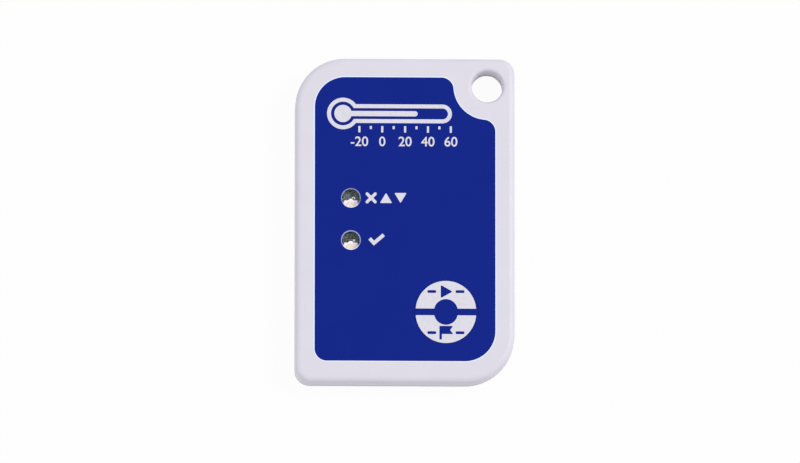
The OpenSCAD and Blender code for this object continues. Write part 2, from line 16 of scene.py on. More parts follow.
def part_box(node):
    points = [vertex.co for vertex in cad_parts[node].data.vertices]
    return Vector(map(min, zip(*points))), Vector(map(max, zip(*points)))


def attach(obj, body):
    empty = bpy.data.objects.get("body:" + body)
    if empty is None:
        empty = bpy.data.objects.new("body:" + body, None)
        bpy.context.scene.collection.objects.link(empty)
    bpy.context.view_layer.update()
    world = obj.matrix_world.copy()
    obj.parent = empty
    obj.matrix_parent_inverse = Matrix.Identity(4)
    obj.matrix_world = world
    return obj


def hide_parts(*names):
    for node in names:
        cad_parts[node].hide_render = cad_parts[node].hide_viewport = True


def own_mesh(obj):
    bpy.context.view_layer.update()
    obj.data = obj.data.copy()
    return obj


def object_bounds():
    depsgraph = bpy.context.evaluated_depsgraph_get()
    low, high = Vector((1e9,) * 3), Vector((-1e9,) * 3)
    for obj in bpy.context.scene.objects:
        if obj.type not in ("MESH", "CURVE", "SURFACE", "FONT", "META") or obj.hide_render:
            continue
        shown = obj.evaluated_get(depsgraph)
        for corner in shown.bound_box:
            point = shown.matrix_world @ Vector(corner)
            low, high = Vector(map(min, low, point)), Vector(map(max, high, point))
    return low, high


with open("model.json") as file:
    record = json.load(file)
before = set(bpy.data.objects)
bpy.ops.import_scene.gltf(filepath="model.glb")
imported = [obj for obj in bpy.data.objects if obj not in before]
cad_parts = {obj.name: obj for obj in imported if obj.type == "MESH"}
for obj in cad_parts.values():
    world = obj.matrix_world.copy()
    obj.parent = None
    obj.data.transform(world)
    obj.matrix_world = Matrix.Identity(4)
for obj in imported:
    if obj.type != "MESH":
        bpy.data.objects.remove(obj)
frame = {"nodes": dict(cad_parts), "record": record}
cad_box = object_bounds()
scene = bpy.context.scene
nodes = frame["nodes"]
record = frame["record"]
MM = 0.001


# Places that the CAD model gives

def middle(node):
    """Middle of a CAD node's box, seen from the front."""
    low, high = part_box(node)
    return (low.x + high.x) / 2 / MM, (low.y + high.y) / 2 / MM


def lowest(node):
    """Lowest level of a CAD node."""
    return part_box(node)[0].z / MM


def highest(node):
    """Highest level of a CAD node."""
    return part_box(node)[1].z / MM


def entry(entries, name):
    """The entry with a name, in one of the record's lists."""
    return next(e for e in entries if e["name"] == name)


HOLE = tuple(p / MM for p in entry(record["mounts"], "lanyard_hole")["pos_m"][:2])
BUTTON = middle("button_pad")
LAMPS = {"alert": middle("alert_lens"), "ok": middle("ok_lens")}
LABEL_TOP = highest("label_overlay")
CASE_TOP = highest("front_housing")
SEAM = lowest("front_housing")
BOARD_TOP = highest("circuit_board")
LED_TOP = highest("alert_led")


# Materials

# Strengths of the lamp bodies' painted glow, which lifts them out of the shade of their wells, and
# of the painted glint along the label's cut edge
LED_PAINTED_GLOW = 0.13
EDGE_PAINTED_GLINT = 0.15
# Below bare polycarbonate's, because the lenses are coated against glare
LENS_IOR = 1.22
# Places of the colour sockets on Blender's Mix node
MIX_FIRST, MIX_SECOND, MIX_RESULT = 6, 7, 2


def srgb(r, g, b):
    """Linear colour of an sRGB colour given from 0 to 255."""
    def linear(c):
        c /= 255
        return c / 12.92 if c <= 0.04045 else ((c + 0.055) / 1.055) ** 2.4
    return linear(r), linear(g), linear(b), 1.0


def dimmed(colour, share):
    """Colour with only a share of its light."""
    return tuple(c * share for c in colour[:3]) + (1.0,)


class ShaderTree:
    """Emptied node tree of a material or world, with short ways to add nodes and join them."""

    def __init__(self, owner, output):
        owner.use_nodes = True
        self.tree = owner.node_tree
        self.tree.nodes.clear()
        self.output = self.add(output)

    def add(self, kind, inputs=None, **settings):
        """New node, with its settings and the values of some of its sockets."""
        node = self.tree.nodes.new(kind)
        for key, value in settings.items():
            setattr(node, key, value)
        for socket, value in (inputs or {}).items():
            node.inputs[socket].default_value = value
        return node

    def join(self, out, into):
        self.tree.links.new(out, into)

    def any_ray(self, *kinds):
        """1 for the named kinds of ray, 0 for the rest."""
        path = self.add("ShaderNodeLightPath")
        out = path.outputs[kinds[0]]
        for kind in kinds[1:]:
            either = self.add("ShaderNodeMath", operation="MAXIMUM")
            self.join(out, either.inputs[0])
            self.join(path.outputs[kind], either.inputs[1])
            out = either.outputs[0]
        return out

    def show(self, share, first, second):
        """Put out the second shader for a share, and the first for the rest."""
        mix = self.add("ShaderNodeMixShader")
        for out, socket in zip((share, first.outputs[0], second.outputs[0]), mix.inputs):
            self.join(out, socket)
        self.join(mix.outputs[0], self.output.inputs["Surface"])


class Finish(ShaderTree):
    """A material in the making: a Principled shader fed by textures in object space."""

    def __init__(self, name, inputs=None):
        self.material = bpy.data.materials.new(name)
        super().__init__(self.material, "ShaderNodeOutputMaterial")
        self.shader = self.add("ShaderNodeBsdfPrincipled", inputs)
        self.join(self.shader.outputs[0], self.output.inputs["Surface"])
        self.place = self.add("ShaderNodeTexCoord").outputs["Object"]

    def stretched(self, x, y, z):
        """Object coordinates stretched along the axes, for grain with a direction."""
        node = self.add("ShaderNodeMapping", {"Scale": (x, y, z)})
        self.join(self.place, node.inputs["Vector"])
        return node.outputs["Vector"]

    def noise(self, size, detail=3, rough=0.5, place=None):
        """Noise from 0 to 1 whose features are about size millimetres."""
        node = self.add("ShaderNodeTexNoise",
                        {"Scale": 1 / (size * MM), "Detail": detail, "Roughness": rough})
        self.join(place or self.place, node.inputs["Vector"])
        return node.outputs["Fac"]

    def cells(self, size, feature="F1", randomness=1.0):
        """Distance field of cells about size millimetres across."""
        node = self.add("ShaderNodeTexVoronoi",
                        {"Scale": 1 / (size * MM), "Randomness": randomness}, feature=feature)
        self.join(self.place, node.inputs["Vector"])
        return node.outputs["Distance"]

    def weave(self, size, distortion):
        """Diagonal waves that repeat over about size millimetres."""
        node = self.add("ShaderNodeTexWave",
                        {"Scale": 1 / (size * MM), "Distortion": distortion},
                        wave_profile="SIN", bands_direction="DIAGONAL")
        self.join(self.place, node.inputs["Vector"])
        return node.outputs["Fac"]

    def ramp(self, value, low, high, start=0.3, end=0.7):
        """Value spread from start..end to low..high, held beyond them."""
        node = self.add("ShaderNodeMapRange",
                        {"From Min": start, "From Max": end, "To Min": low, "To Max": high})
        self.join(value, node.inputs["Value"])
        return node.outputs["Result"]

    def blend(self, share, first, second):
        """Colour between first and second, which are colours or sockets."""
        node = self.add("ShaderNodeMix", data_type="RGBA")
        self.join(share, node.inputs["Factor"])
        for place, colour in ((MIX_FIRST, first), (MIX_SECOND, second)):
            if isinstance(colour, tuple):
                node.inputs[place].default_value = colour
            else:
                self.join(colour, node.inputs[place])
        return node.outputs[MIX_RESULT]

    def plus(self, first, second, share):
        """First value and a share of the second."""
        node = self.add("ShaderNodeMath", {1: share}, operation="MULTIPLY_ADD")
        self.join(second, node.inputs[0])
        self.join(first, node.inputs[2])
        return node.outputs[0]

    def relief(self, height, depth):
        """Bump of the given depth in millimetres."""
        node = self.add("ShaderNodeBump", {"Distance": depth * MM, "Strength": 1.0})
        self.join(height, node.inputs["Height"])
        self.join(node.outputs[0], self.shader.inputs["Normal"])

    def colour(self, socket):
        self.join(socket, self.shader.inputs["Base Color"])

    def roughness(self, socket):
        self.join(socket, self.shader.inputs["Roughness"])

    def pass_lamp_light(self):
        """Keep the shader for what is seen, and let the light of lamps go straight through."""
        self.show(self.any_ray("Is Shadow Ray", "Is Diffuse Ray"),
                  self.shader, self.add("ShaderNodeBsdfTransparent"))


def moulded(name, colour, rough=0.45, grain=0.16, depth=0.006, drift=0.03, specular=0.4,
            painted_glint=None):
    """Moulded plastic: fine spark texture, slow drift of tone and gloss, and a painted glint, a
    faint glow, if any.
    """
    inputs = {"Specular IOR Level": specular}
    # A glint, if given, is painted: a faint glow in its colour
    if painted_glint:
        inputs.update({"Emission Color": painted_glint, "Emission Strength": EDGE_PAINTED_GLINT})
    f = Finish(name, inputs)
    slow = f.ramp(f.noise(size=9, detail=4), 0, 1)
    f.colour(f.blend(slow, dimmed(colour, 1 - drift), colour))
    spark = f.noise(size=grain, detail=2, rough=0.6)
    gloss = f.ramp(f.noise(size=3.5), rough - 0.04, rough + 0.04)
    f.roughness(f.plus(gloss, spark, share=0.06))
    f.relief(spark, depth)
    return f.material


def printed_film(name, colour):
    """Label film: velvet-textured polycarbonate over a printed colour."""
    f = Finish(name, {"Specular IOR Level": 0.06})
    f.colour(f.blend(f.ramp(f.noise(size=14, detail=5), 0, 1), dimmed(colour, 0.96), colour))
    velvet = f.cells(size=0.11, feature="SMOOTH_F1")
    f.roughness(f.plus(f.ramp(f.noise(size=6), 0.408, 0.432), velvet, share=0.08))
    f.relief(velvet, depth=0.003)
    return f.material


def screen_ink(name, colour):
    """Ink from a screen: nearly flat, with the mesh's fine unevenness and thinner spots."""
    f = Finish(name, {"Specular IOR Level": 0.25})
    cover = f.ramp(f.noise(size=0.9, detail=5), 0, 1, start=0.35, end=0.6)
    f.colour(f.blend(cover, dimmed(colour, 0.94), colour))
    f.roughness(f.ramp(f.noise(size=1.5), 0.42, 0.54))
    f.relief(f.cells(size=0.14), depth=0.002)
    return f.material


def metal(name, colour, rough, size, grain=(1, 1, 1), depth=0.002, tarnish=None):
    """Metal with drawn or plated grain and a faint tarnish."""
    f = Finish(name, {"Metallic": 1.0})
    lines = f.noise(size=size, detail=5, place=f.stretched(*grain))
    stain = f.ramp(f.noise(size=2.2, detail=4), 0, 0.7)
    f.colour(f.blend(stain, colour, tarnish or dimmed(colour, 0.82)))
    f.roughness(f.ramp(lines, rough * 0.8, rough * 1.3))
    f.relief(lines, depth)
    return f.material


def clear_lens(name):
    """Clear coated polycarbonate with a faint haze from the mould."""
    f = Finish(name, {"Transmission Weight": 1.0, "IOR": LENS_IOR,
                      "Base Color": (0.985, 0.99, 0.99, 1.0)})
    f.roughness(f.ramp(f.noise(size=0.8, detail=4), 0.0, 0.05))
    f.relief(f.noise(size=1.6, detail=2), depth=0.002)
    f.pass_lamp_light()
    return f.material


def solder_mask(name, base, trace):
    """Circuit board: mask over glass weave, with paler bands where copper runs below."""
    f = Finish(name, {"Specular IOR Level": 0.5, "Coat Weight": 0.25, "Coat Roughness": 0.2})
    borders = f.cells(size=2.1, feature="DISTANCE_TO_EDGE", randomness=0.55)
    copper = f.ramp(borders, 1, 0, start=0.09, end=0.13)
    f.colour(f.blend(copper, base, trace))
    f.roughness(f.ramp(f.noise(size=1.2, detail=4), 0.32, 0.5))
    f.relief(f.plus(copper, f.weave(size=2.0, distortion=1.5), share=0.3), depth=0.02)
    return f.material


def resin(name, colour, rim, at, reach):
    """Clear resin over a phosphor that fades from its middle at a point to its rim's colour, with a
    faint painted glow in the rim's colour.
    """
    f = Finish(name, {"Specular IOR Level": 0.6, "Emission Color": rim,
                      "Emission Strength": LED_PAINTED_GLOW})
    away = f.add("ShaderNodeVectorMath", {1: (at[0] * MM, at[1] * MM, LED_TOP * MM)},
                 operation="DISTANCE")
    f.join(f.stretched(1, 1, 1), away.inputs[0])
    cloud = f.plus(away.outputs["Value"], f.noise(size=0.3), share=0.25 * MM)
    f.colour(f.blend(f.ramp(cloud, 0, 1, 0.3 * reach * MM, reach * MM), colour, rim))
    f.roughness(f.ramp(f.noise(size=0.35), 0.12, 0.3))
    f.relief(f.noise(size=0.5), depth=0.01)
    return f.material


def painted_light_edge(name, colour, painted_light, level, fade):
    """Film's cut edge: its colour, and below a level across the face a near-white painted light."""
    f = Finish(name, {"Specular IOR Level": 0.4})
    split = f.add("ShaderNodeSeparateXYZ")
    f.join(f.place, split.inputs[0])
    cut = f.blend(f.ramp(f.noise(size=0.5), 0, 1), dimmed(colour, 0.8), colour)
    below = f.ramp(split.outputs["Y"], 1, 0, (level - fade) * MM, (level + fade) * MM)
    f.colour(f.blend(below, cut, painted_light))
    f.roughness(f.ramp(f.noise(size=0.3), 0.2, 0.32))
    f.relief(f.noise(size=0.2), depth=0.004)
    return f.material


def led_plastic(name, colour):
    """Bright moulded case of a light-emitting diode, with a faint painted glow that lifts it out of
    the shade of its well.
    """
    f = Finish(name, {"Specular IOR Level": 0.4, "Emission Color": colour,
                      "Emission Strength": LED_PAINTED_GLOW})
    f.colour(f.blend(f.ramp(f.noise(size=0.7, detail=4), 0, 1), dimmed(colour, 0.95), colour))
    f.roughness(f.ramp(f.noise(size=0.4), 0.35, 0.48))
    f.relief(f.noise(size=0.08, detail=2), depth=0.003)
    return f.material


def foam(name, colour):
    """Fine-cell foam: open pores at its surface, darkened inside as painted shade."""
    f = Finish(name, {"Specular IOR Level": 0.2, "Roughness": 0.95})
    cells = f.cells(size=0.28)
    # The pores' dark colour is painted shade in their hollows
    f.colour(f.blend(f.ramp(cells, 0, 1, start=0.1, end=0.45), dimmed(colour, 0.45), colour))
    f.relief(cells, depth=0.06)
    return f.material


BLUE = srgb(14, 36, 135)
LED_WHITE = srgb(255, 246, 252)

housing = moulded("housing_plastic", srgb(221, 218, 230), grain=0.2, depth=0.011)
seam_shade = moulded("seam_shade", srgb(112, 110, 118), rough=0.7, grain=0.3, depth=0.01,
                     drift=0.2)
label_blue = printed_film("label_film", BLUE)
pad_blue = printed_film("pad_film", BLUE)
white_ink = screen_ink("white_ink", srgb(222, 220, 230))
key_white = moulded("key_plastic", srgb(203, 201, 209), rough=0.5)
rubber = moulded("gasket_rubber", srgb(52, 54, 58), rough=0.7, grain=0.3, depth=0.01,
                 specular=0.25)
lens = clear_lens("lens_clear")
# The film edge's pale colour is partly its own and partly a painted highlight, and its glow is a
# painted glint
film_edge = moulded("film_edge", srgb(230, 239, 255), rough=0.3, grain=0.1, depth=0.002,
                    painted_glint=srgb(150, 195, 255))
led_white = led_plastic("led_body", LED_WHITE)
solder = metal("solder", srgb(226, 224, 226), rough=0.14, size=0.2)
board = solder_mask("board_laminate", srgb(30, 47, 48), srgb(48, 66, 66))
mask_on_copper = solder_mask("board_copper", srgb(86, 98, 100), srgb(97, 108, 112))
steel = metal("cell_steel", srgb(186, 190, 194), rough=0.3, size=0.12)
nylon = moulded("cell_seal", srgb(72, 74, 78), rough=0.55)
nickel = metal("tab_nickel", srgb(196, 190, 180), rough=0.32, size=0.1, grain=(0.08, 1, 1))
pad_foam = foam("foam", srgb(84, 88, 94))
epoxy = moulded("chip_epoxy", srgb(34, 36, 39), rough=0.6, grain=0.07, drift=0.12)
tin = metal("tinned_metal", srgb(200, 202, 205), rough=0.24, size=0.25, depth=0.004)
gold = metal("contact_gold", srgb(219, 182, 96), rough=0.22, size=0.2,
             tarnish=srgb(184, 140, 66))
ceramic = moulded("ceramic", srgb(181, 154, 116), rough=0.6, grain=0.06, depth=0.004,
                  drift=0.1)
switch_black = moulded("switch_plastic", srgb(38, 40, 44), rough=0.5, grain=0.09)
stem_cream = moulded("stem_plastic", srgb(232, 228, 218), grain=0.09)

# The film's edge round each window: from a level under the window's middle downwards it takes a
# near-white painted light that fades in over a short band, and above that its tone is partly its
# own and partly painted shade, deeper at the alert window. The lamp's phosphor has its own middle
# PHOSPHOR_BELOW under the window's middle
EDGE_TONES = {"alert": srgb(124, 142, 192), "ok": srgb(160, 176, 236)}
PAINTED_LIGHT_TONE = srgb(250, 244, 252)
PAINTED_LIGHT_BELOW, PAINTED_LIGHT_FADE = 1.65, 0.35
PHOSPHOR_TONE = srgb(231, 225, 186)
PHOSPHOR_BELOW, PHOSPHOR_REACH = 1.15, 1.5
window_edge, phosphor = {}, {}
for lamp, (x, y) in LAMPS.items():
    window_edge[lamp] = painted_light_edge("window_edge_" + lamp, EDGE_TONES[lamp], PAINTED_LIGHT_TONE,
                                 y - PAINTED_LIGHT_BELOW, PAINTED_LIGHT_FADE)
    phosphor[lamp] = resin("led_resin_" + lamp, PHOSPHOR_TONE, LED_WHITE,
                           (x, y - PHOSPHOR_BELOW), PHOSPHOR_REACH)

FINISHES = {
    "front_housing": housing, "rear_cover": housing, "case_gasket": rubber,
    "label_overlay": label_blue, "button_pad": pad_blue, "button_key": key_white,
    "switch_base": switch_black, "switch_cover": tin, "switch_stem": stem_cream,
    "switch_dome": nickel, "alert_lens": lens, "ok_lens": lens, "alert_led": led_white,
    "ok_led": led_white, "alert_led_cap": phosphor["alert"], "ok_led_cap": phosphor["ok"],
    "circuit_board": board, "battery_can": steel, "battery_cap": steel, "battery_seal": nylon,
    "battery_tab_positive": nickel, "battery_tab_negative": nickel, "battery_pad": pad_foam,
    "microcontroller": epoxy, "memory_chip": epoxy, "chip_leads": tin, "crystal": tin,
    "temperature_sensor": epoxy, "sensor_leads": tin, "chip_capacitors": ceramic,
    "chip_resistors": epoxy, "contact_pins": gold,
}
for name, node in nodes.items():
    node.data.materials.clear()
    node.data.materials.append(FINISHES[name])


# Loops of points that flat shapes are drawn with

def on_circle(at, r, degrees):
    """Point on a circle round a place."""
    turn = math.radians(degrees)
    return at[0] + r * math.cos(turn), at[1] + r * math.sin(turn)


def arc(at, r, start, end, steps=24):
    """Points along a circle from one angle to another, in degrees."""
    return [on_circle(at, r, start + (end - start) * i / steps) for i in range(steps + 1)]


def bar(start, end, width, round_ends=True):
    """Straight stroke from start to end."""
    turn = math.degrees(math.atan2(end[1] - start[1], end[0] - start[0]))
    if round_ends:
        return (arc(end, width / 2, turn - 90, turn + 90, 10)
                + arc(start, width / 2, turn + 90, turn + 270, 10))
    across = math.radians(turn + 90)
    dx, dy = math.cos(across) * width / 2, math.sin(across) * width / 2
    return [(start[0] - dx, start[1] - dy), (end[0] - dx, end[1] - dy),
            (end[0] + dx, end[1] + dy), (start[0] + dx, start[1] + dy)]


def placed(points, at):
    """Points drawn round the origin, moved to a place."""
    return [(x + at[0], y + at[1]) for x, y in points]


def rounded(points, r, steps=6):
    """Loop through points, given counterclockwise, with its corners rounded."""
    loop = []
    count = len(points)
    for i in range(count):
        here = Vector(points[i])
        back = (Vector(points[i - 1]) - here).normalized()
        on = (Vector(points[(i + 1) % count]) - here).normalized()
        half = back.angle(on) / 2
        reach = r / math.tan(half)
        centre = here + (back + on).normalized() * (r / math.sin(half))
        first, last = here + back * reach - centre, here + on * reach - centre
        start = math.atan2(first.y, first.x)
        sweep = math.atan2(first.cross(last), first.dot(last))
        for k in range(steps + 1):
            turn = start + sweep * k / steps
            loop.append((centre.x + r * math.cos(turn), centre.y + r * math.sin(turn)))
    return loop


def area(loop):
    """Area of a loop, above zero where it runs counterclockwise."""
    return sum(a[0] * b[1] - b[0] * a[1] for a, b in zip(loop, loop[1:] + loop[:1])) / 2


def grown(loop, out):
    """Loop moved outwards from what it encloses, or inwards where out is negative."""
    points = [Vector(p) for p in loop]
    side = out if area(loop) > 0 else -out
    moved = []
    for i, here in enumerate(points):
        before, after = points[i - 1], points[(i + 1) % len(points)]
        a, b = (here - before).normalized(), (after - here).normalized()
        across = Vector((a.y + b.y, -a.x - b.x)).normalized()
        lean = max(0.5, across.dot(Vector((a.y, -a.x))))
        moved.append(tuple(here + across * side / lean))
    return moved


def rim_steps(node, level, slack=0.001):
    """For each point round a CAD node's faces at a level, the points that come next."""
    piece = nodes[node]
    follow = {}
    for face in piece.data.polygons:
        corners = [piece.matrix_world @ piece.data.vertices[i].co / MM for i in face.vertices]
        if any(abs(c.z - level) >= slack for c in corners):
            continue
        flat = [(round(c.x, 4), round(c.y, 4)) for c in corners]
        for a, b in zip(flat, flat[1:] + flat[:1]):
            if a in follow.get(b, ()):
                follow[b].remove(a)
            else:
                follow.setdefault(a, []).append(b)
    return follow


def rims(node, level):
    """Loops round the faces of a CAD node that lie at a level, the largest first."""
    follow = rim_steps(node, level)
    loops = []
    while any(follow.values()):
        start = next(a for a in follow if follow[a])
        loop, here = [start], follow[start].pop()
        while here != start:
            loop.append(here)
            here = follow[here].pop()
        loops.append(loop)
    return sorted(loops, key=lambda loop: -abs(area(loop)))


def nearest(loops, at):
    """The loop whose box has its middle nearest to a place."""
    def box_middle(loop):
        return [(min(p[i] for p in loop) + max(p[i] for p in loop)) / 2 for i in (0, 1)]
    return min(loops, key=lambda loop: math.dist(box_middle(loop), at))


# Flat pieces, such as print

INK_LOW = LABEL_TOP - 0.01
INK_HIGH = LABEL_TOP + 0.02
# Size of the font for digits one high, and how far their strokes are swollen
FONT_SIZE = 1.38
FONT_SWELL = 0.04


def mesh_from(bm, name):
    """Mesh of what was built in bm."""
    mesh = bpy.data.meshes.new(name)
    bm.to_mesh(mesh)
    bm.free()
    return mesh


def link(name, mesh, material, body):
    """Piece of the scene, which rides a body and takes the finish it is given."""
    piece = bpy.data.objects.new(name, mesh)
    scene.collection.objects.link(piece)
    mesh.materials.clear()
    mesh.materials.append(material)
    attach(piece, body)
    return piece


def add_prism(bm, shape, low, high):
    """Upright solid between two levels, over an outline that may be followed by its holes."""
    loops = [list(loop) for loop in shape]
    for i, loop in enumerate(loops):
        if (area(loop) > 0) == (i > 0):
            loop.reverse()
    tops, lows = [], []
    for loop in loops:
        tops.append([bm.verts.new((x * MM, y * MM, high * MM)) for x, y in loop])
        lows.append([bm.verts.new((x * MM, y * MM, low * MM)) for x, y in loop])
    all_tops, all_lows = sum(tops, []), sum(lows, [])
    for corners in tessellate_polygon([[Vector((x, y, 0)) for x, y in loop] for loop in loops]):
        a, b, c = (all_tops[k].co for k in corners)
        upwards = corners if (b - a).cross(c - a).z > 0 else corners[::-1]
        bm.faces.new([all_tops[k] for k in upwards])
        bm.faces.new([all_lows[k] for k in upwards[::-1]])
    for over, under in zip(tops, lows):
        for k in range(len(over)):
            n = (k + 1) % len(over)
            bm.faces.new([under[k], under[n], over[n], over[k]])


def flat_piece(name, shapes, material, body, low, high):
    """Flat piece of one or more shapes, each a list of an outline and its holes."""
    bm = bmesh.new()
    for shape in shapes:
        add_prism(bm, shape, low, high)
    link(name, mesh_from(bm, name), material, body)


def print_white(name, shapes, body="case"):
    """White ink on the film."""
    flat_piece(name, shapes, white_ink, body, INK_LOW, INK_HIGH)


def print_number(name, text, at, height):
    """A plain number in white ink, centred on a point."""
    curve = bpy.data.curves.new(name, "FONT")
    curve.body = text
    curve.align_x = "CENTER"
    curve.size = height * MM * FONT_SIZE
    curve.extrude = (INK_HIGH - INK_LOW) / 2 * MM
    curve.offset = FONT_SWELL * MM
    curve.resolution_u = 6
    digits = bpy.data.objects.new(name, curve)
    scene.collection.objects.link(digits)
    bpy.context.view_layer.update()
    seen = digits.evaluated_get(bpy.context.evaluated_depsgraph_get())
    mesh = bpy.data.meshes.new_from_object(seen)
    bpy.data.objects.remove(digits)
    bpy.data.curves.remove(curve)
    foot = (at[0] * MM, (at[1] - height / 2) * MM, (INK_LOW + INK_HIGH) / 2 * MM)
    mesh.transform(Matrix.Translation(foot))
    mesh.name = name
    link(name, mesh, white_ink, "case")


# The clear film's cut edge, which shows pale round the label and in its windows, partly by its own
# colour and partly by painted highlight
FILM_EDGE = 0.2
FILM_LAP = 0.006
WINDOW_EDGE = 0.17
EDGE_LOW = LABEL_TOP - 0.2
WINDOW_HIGH = LABEL_TOP - 0.01
label_rim, *openings = rims("label_overlay", LABEL_TOP)
flat_piece("label_edge", [[grown(label_rim, FILM_EDGE), label_rim]], film_edge, "case",
           EDGE_LOW, CASE_TOP + FILM_LAP)
for lamp, at in LAMPS.items():
    rim = nearest(openings, at)
    flat_piece(lamp + "_window_edge", [[rim, grown(rim, -WINDOW_EDGE)]], window_edge[lamp],
               "case", EDGE_LOW, WINDOW_HIGH)

# Parting line of the two shells, round the case and in the lanyard hole
LINE_HALF, LINE_OUT, LINE_IN = 0.05, 0.008, 0.02
case_rim, *inner_rims = rims("front_housing", SEAM)
hole_rim = nearest(inner_rims, HOLE)
flat_piece("parting_line", [[grown(case_rim, LINE_OUT), grown(case_rim, -LINE_IN)],
                            [grown(hole_rim, LINE_IN), grown(hole_rim, -LINE_OUT)]],
           seam_shade, "case", SEAM - LINE_HALF, SEAM + LINE_HALF)


# Thermometer and its scale, at the head of the label

BULB = (-16.3, 28.2)
BULB_R, TUBE_HALF, TUBE_END, OUTLINE = 4.2, 2.5, 9.8, 1.05
COLUMN_BULB_R, COLUMN_HALF, COLUMN_END = 2.3, 0.7, 2.6


def bulb_and_tube(r, half, end, steps, end_steps):
    """Round bulb with a tube of a half width to its right, which is rounded off past its end."""
    neck = math.degrees(math.asin(half / r))
    return (arc(BULB, r, neck, 360 - neck, steps)
            + arc((end, BULB[1]), half, -90, 90, end_steps))


print_white("thermometer_print", [
    [bulb_and_tube(BULB_R, TUBE_HALF, TUBE_END, 48, 24),
     bulb_and_tube(BULB_R - OUTLINE, TUBE_HALF - OUTLINE, TUBE_END, 48, 24)],
    [bulb_and_tube(COLUMN_BULB_R, COLUMN_HALF, COLUMN_END, 40, 10)]])

# Marks of the scale; every other one is long and has a number
MARKS, MARK_LEFT, MARK_STEP = 9, -12.0, 3.0
COLDEST, DEGREES_STEP = -20, 10
MARK_TOP, LONG_FOOT, SHORT_FOOT, MARK_WIDTH = 24.9, 23.2, 24.1, 0.55
NUMBER_Y, NUMBER_HEIGHT = 20.9, 2.6
marks = []
for i in range(MARKS):
    x = MARK_LEFT + MARK_STEP * i
    foot = LONG_FOOT if i % 2 == 0 else SHORT_FOOT
    marks.append([bar((x, MARK_TOP), (x, foot), MARK_WIDTH, round_ends=False)])
print_white("scale_print", marks)
for i in range(0, MARKS, 2):
    text = str(COLDEST + DEGREES_STEP * i)
    print_number("number_print_" + text.replace("-", "minus_"), text,
                 (MARK_LEFT + MARK_STEP * i, NUMBER_Y), NUMBER_HEIGHT)


# Signs beside the lamps: out of range, and in range

SIGN_HALF_W, SIGN_HALF_H, SIGN_CORNER = 1.6, 1.35, 0.15
CROSS_X, UP_X, DOWN_X, TICK_X = -8.9, -5.0, -1.2, -7.6
ARM, ARM_HALF = 1.5, 0.4
TICK = [(-2.0, 0.1), (-1.35, 0.75), (-0.55, -0.15), (1.7, 1.75), (2.3, 1.05), (-0.6, -1.45)]


def cross_at(centre):
    """Diagonal cross with round ends."""
    loop = []
    for turn in (45, 135, 225, 315):
        loop += arc(on_circle(centre, ARM, turn), ARM_HALF, turn - 90, turn + 90, 10)
        loop.append(on_circle(centre, ARM_HALF * math.sqrt(2), turn + 45))
    return loop


sign_y = LAMPS["alert"][1]
up = placed([(-SIGN_HALF_W, -SIGN_HALF_H), (SIGN_HALF_W, -SIGN_HALF_H), (0, SIGN_HALF_H)],
            (UP_X, sign_y))
down = placed([(-SIGN_HALF_W, SIGN_HALF_H), (0, -SIGN_HALF_H), (SIGN_HALF_W, SIGN_HALF_H)],
              (DOWN_X, sign_y))
print_white("alert_sign_print", [[cross_at((CROSS_X, sign_y))], [rounded(up, SIGN_CORNER)],
                                 [rounded(down, SIGN_CORNER)]])
print_white("ok_sign_print", [[placed(TICK, (TICK_X, LAMPS["ok"][1]))]])


# White halves of the button, with the signs left open to the blue film

# The print sits a little left of and below the button's middle. Its halves begin HALF_GAP
# above and below its own middle, and their arcs are drawn round points APART above and below
SHIFT = (-0.09, -0.06)
HALF_R, CORE_R, HALF_GAP, APART = 7.93, 3.1, 0.89, 0.3
PLAY_UP, PLAY_CORNER, FLAG_DOWN = 5.4, 0.2, 5.5
PLAY = [(-1.35, -1.75), (1.75, 0), (-1.35, 1.75)]
FLAG = [(-1.7, -1.8), (-1.05, -1.8), (-1.05, -0.35), (1.9, -0.35), (1.1, 0.72), (1.9, 1.8),
        (-1.7, 1.8)]
DASH_FROM, DASH_TO, DASH_WIDTH = 2.9, 4.5, 0.75
print_x, print_y = BUTTON[0] + SHIFT[0], BUTTON[1] + SHIFT[1]


def half_ring(raised, turn):
    """Half ring that starts at turn degrees, round a point raised above the print's middle."""
    centre = (print_x, print_y + raised)
    rim = math.degrees(math.asin((HALF_GAP - APART) / HALF_R))
    core = math.degrees(math.asin((HALF_GAP - APART) / CORE_R))
    return (arc(centre, HALF_R, turn + rim, turn + 180 - rim, 72)
            + arc(centre, CORE_R, turn + 180 - core, turn + core, 36))


def dashes(y):
    """Short strokes on both sides of a sign."""
    return [bar((print_x + side * DASH_FROM, y), (print_x + side * DASH_TO, y), DASH_WIDTH)
            for side in (-1, 1)]


play_y, flag_y = print_y + PLAY_UP, print_y - FLAG_DOWN
play = rounded(placed(PLAY, (print_x, play_y)), PLAY_CORNER)
flag = placed(FLAG, (print_x, flag_y))
print_white("start_half_print", [[half_ring(APART, 0), play] + dashes(play_y)], "button")
print_white("mark_half_print", [[half_ring(-APART, 180), flag] + dashes(flag_y)], "button")


# The switch's snap dome, and copper, solder and plated holes on the board under the lamps

# The dome's thickness, and the play between it and the stem at the end of the travel
DOME_SHEET = 0.08
# How deep flat and turned pieces reach into the board, and how far they stand above it
FLAT_SUNK, TURNED_SUNK = 0.01, 0.02
COPPER_RISE, SOLDER_RISE, VIA_RISE = 0.035, 0.06, 0.04
# Bore of a plated hole, width of its ring, and how far its dark middle, painted shade in the bore,
# lies below the ring
VIA_R, VIA_RING, VIA_DIP = 0.2, 0.18, 0.03


